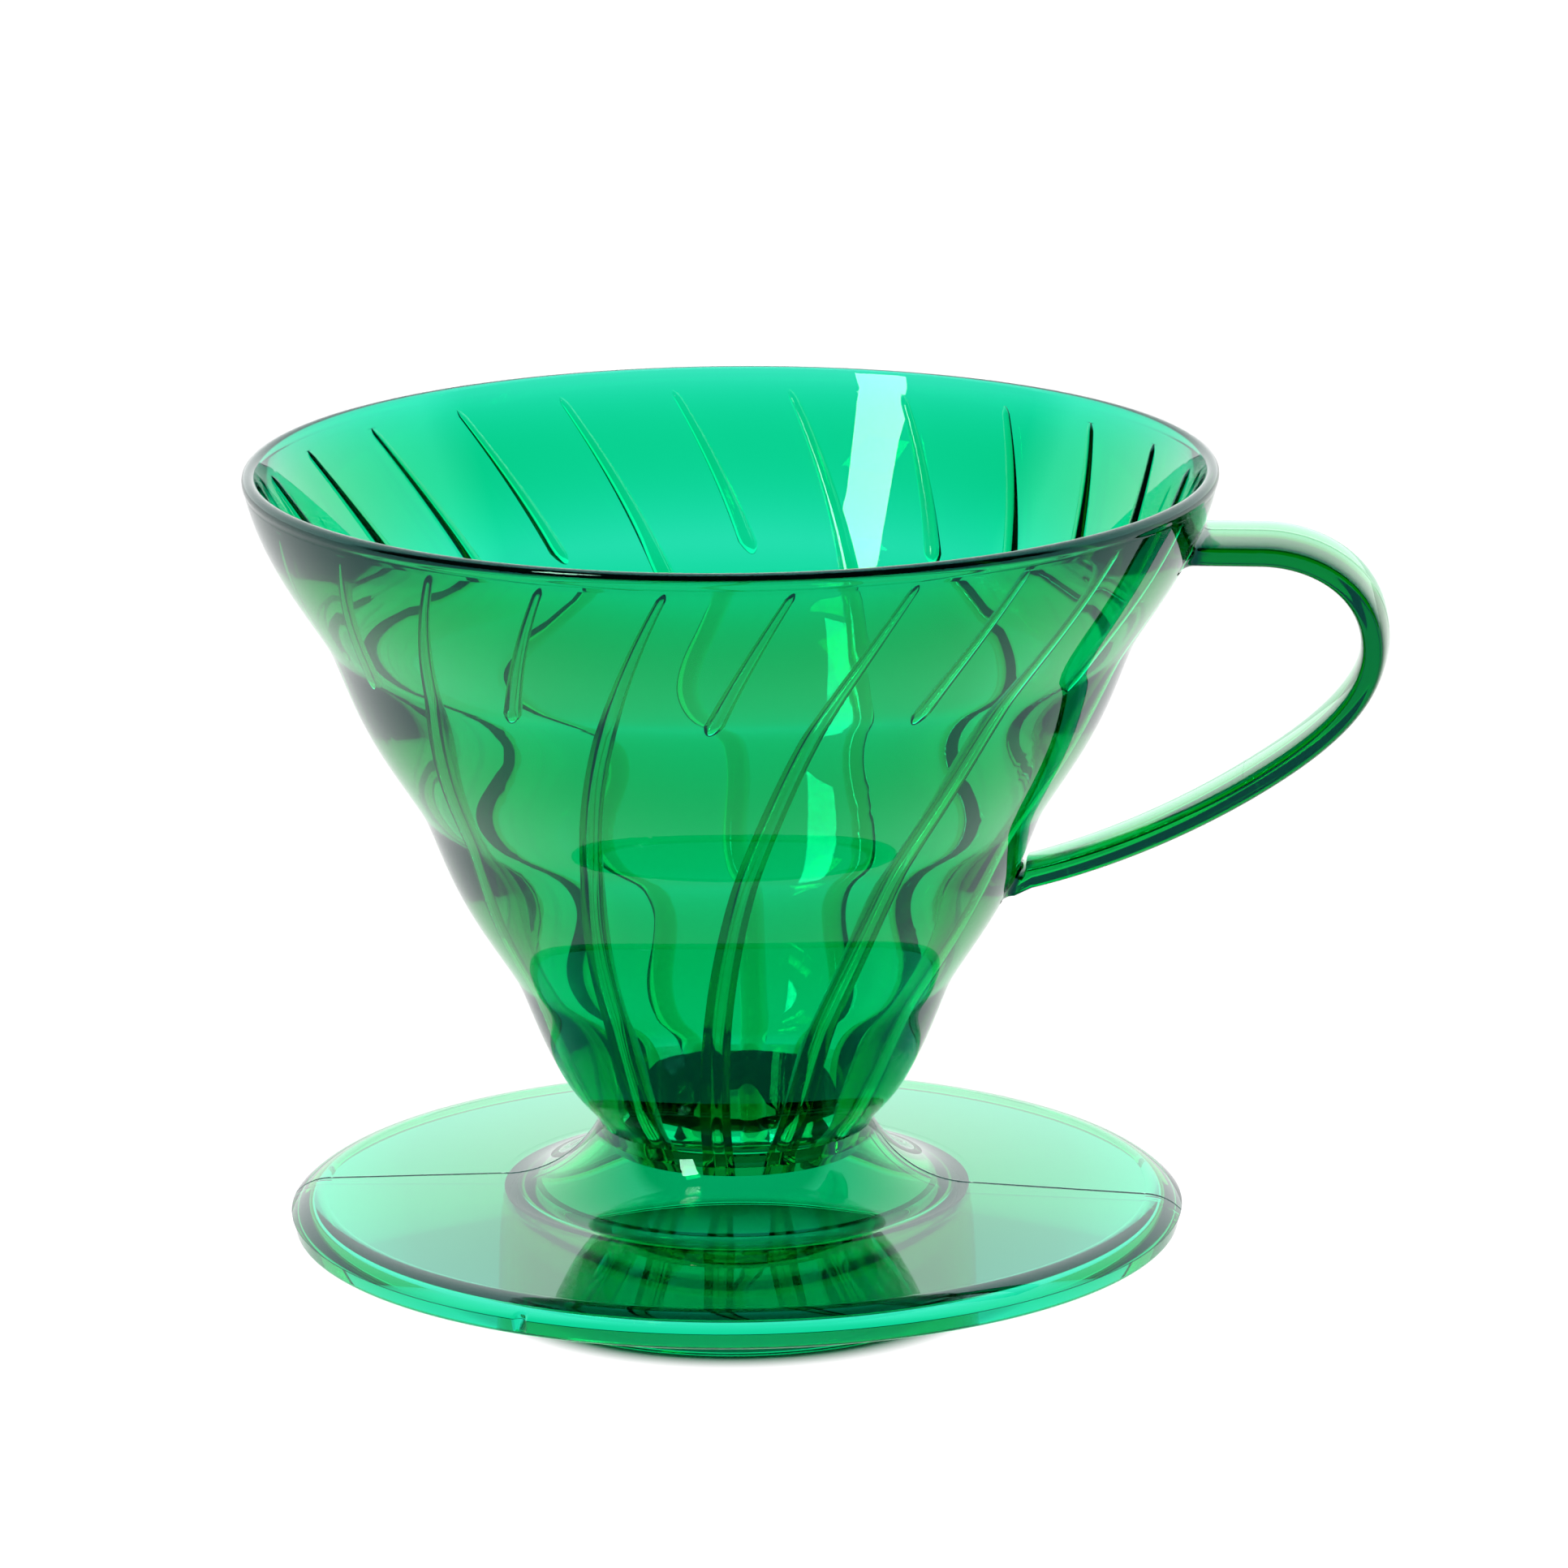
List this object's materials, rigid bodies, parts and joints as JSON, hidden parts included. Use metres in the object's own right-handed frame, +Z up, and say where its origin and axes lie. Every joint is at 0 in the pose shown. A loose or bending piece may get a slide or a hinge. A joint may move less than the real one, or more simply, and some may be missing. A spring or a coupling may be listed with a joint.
{
  "type": "pour over dripper",
  "caption": "Clear green plastic pour over coffee dripper: a rippled cone with spiral ribs, a saucer foot with a locating ring, and a strap handle.",
  "frame": {"origin": "centre of the locating ring's foot, on the surface the dripper stands on", "axes": "+Z up along the cone's axis, +X towards the handle"},
  "size_m": [0.1363, 0.116, 0.102],
  "materials": {
    "clear_plastic": "high-gloss transparent green injection-moulded plastic"
  },
  "bodies": {
    "root": {"cone_wall": "clear_plastic", "rim_bead": "clear_plastic", "long_spiral_ribs": "clear_plastic", "short_spiral_ribs": "clear_plastic", "outlet_collar": "clear_plastic", "base_skirt": "clear_plastic", "saucer_plate": "clear_plastic", "saucer_lip": "clear_plastic", "locating_ring": "clear_plastic", "handle_upper_root": "clear_plastic", "handle_upper_arm": "clear_plastic", "handle_grip_bow": "clear_plastic", "handle_lower_arm": "clear_plastic", "handle_lower_root": "clear_plastic"}
  },
  "joints": []
}
